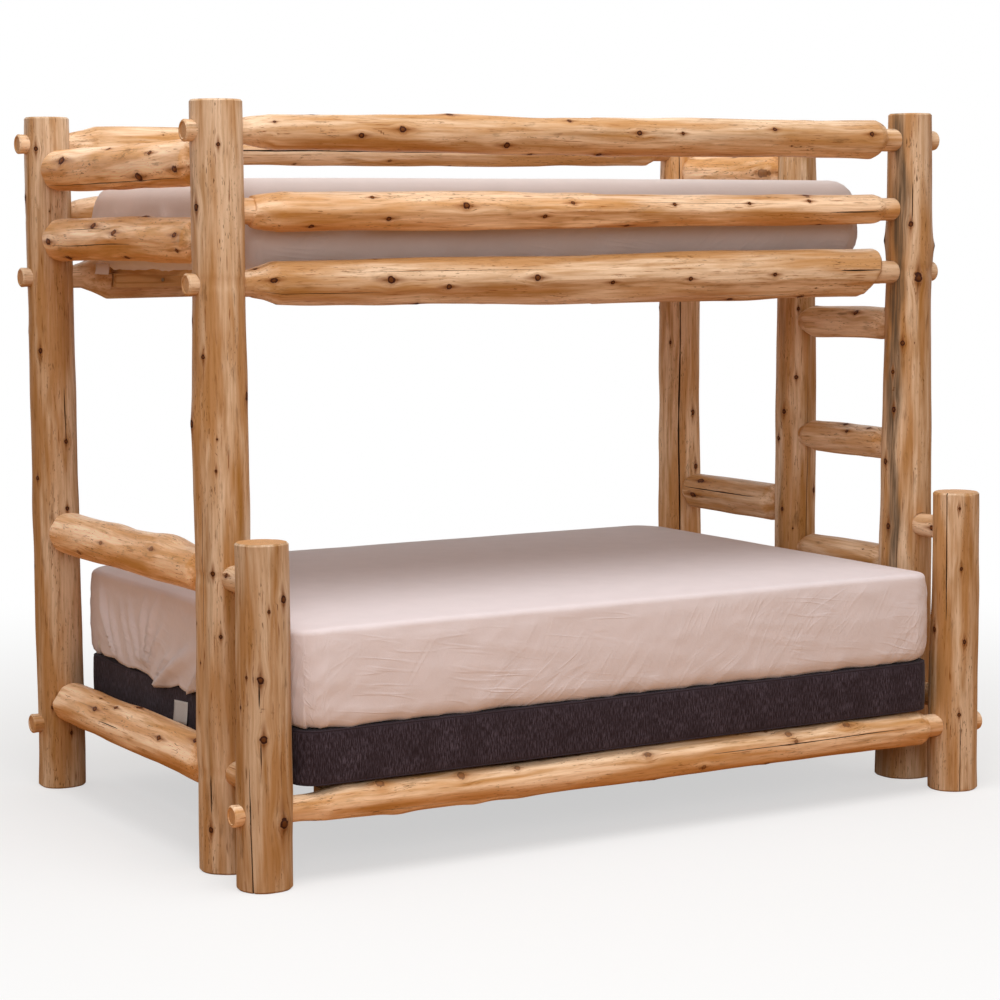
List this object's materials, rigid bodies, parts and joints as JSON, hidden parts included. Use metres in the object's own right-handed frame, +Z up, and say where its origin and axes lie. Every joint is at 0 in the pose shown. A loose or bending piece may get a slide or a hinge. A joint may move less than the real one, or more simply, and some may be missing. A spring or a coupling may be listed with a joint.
{
  "type": "bunk bed",
  "caption": "Log bunk bed with a narrow bunk over a wide bed, end ladder, guard rails, slats, mattresses, fitted sheets and box spring.",
  "frame": {"origin": "floor level, under the middle of the bed's bounding box", "axes": "+X along the bed towards the ladder end, -Y to the open front with the short posts, +Z up"},
  "size_m": [2.254, 1.4755, 1.847],
  "materials": {
    "peeled_cedar": "clear satin finish on hand-peeled logs",
    "sawn_pine": "planed, unfinished",
    "zinc_screw": "zinc plated",
    "mattress_ticking": "knitted ticking",
    "cotton_sheet": "plain woven cotton, matt",
    "charcoal_upholstery": "heathered woven upholstery"
  },
  "bodies": {
    "root": {"back_deck_ledger": "sawn_pine", "back_deck_rail": "peeled_cedar", "back_guard_rail": "peeled_cedar", "back_left_post": "peeled_cedar", "back_lower_ledger": "sawn_pine", "back_lower_rail": "peeled_cedar", "back_middle_rail": "peeled_cedar", "back_right_post": "peeled_cedar", "box_spring": "charcoal_upholstery", "deck_slat_1": "sawn_pine", "deck_slat_10": "sawn_pine", "deck_slat_11": "sawn_pine", "deck_slat_2": "sawn_pine", "deck_slat_3": "sawn_pine", "deck_slat_4": "sawn_pine", "deck_slat_5": "sawn_pine", "deck_slat_6": "sawn_pine", "deck_slat_7": "sawn_pine", "deck_slat_8": "sawn_pine", "deck_slat_9": "sawn_pine", "front_deck_ledger": "sawn_pine", "front_deck_rail": "peeled_cedar", "front_guard_rail": "peeled_cedar", "front_left_post": "peeled_cedar", "front_lower_ledger": "sawn_pine", "front_lower_rail": "peeled_cedar", "front_middle_rail": "peeled_cedar", "front_right_post": "peeled_cedar", "ladder_post": "peeled_cedar", "ladder_rung_1": "peeled_cedar", "ladder_rung_2": "peeled_cedar", "ladder_rung_3": "peeled_cedar", "ladder_rung_4": "peeled_cedar", "ledger_screws": "zinc_screw", "left_end_rail_bottom": "peeled_cedar", "left_end_rail_second": "peeled_cedar", "left_end_rail_third": "peeled_cedar", "left_end_rail_top": "peeled_cedar", "left_wing_rail_bottom": "peeled_cedar", "left_wing_rail_top": "peeled_cedar", "lower_mattress": "mattress_ticking", "lower_sheet": "cotton_sheet", "lower_slat_1": "sawn_pine", "lower_slat_2": "sawn_pine", "lower_slat_3": "sawn_pine", "lower_slat_4": "sawn_pine", "lower_slat_5": "sawn_pine", "right_end_rail_bottom": "peeled_cedar", "right_end_rail_second": "peeled_cedar", "right_end_rail_third": "peeled_cedar", "right_end_rail_top": "peeled_cedar", "right_wing_rail_bottom": "peeled_cedar", "right_wing_rail_top": "peeled_cedar", "short_left_post": "peeled_cedar", "short_right_post": "peeled_cedar", "slat_screws": "zinc_screw", "tenon_screws": "zinc_screw", "upper_mattress": "mattress_ticking", "upper_sheet": "cotton_sheet"}
  },
  "joints": []
}
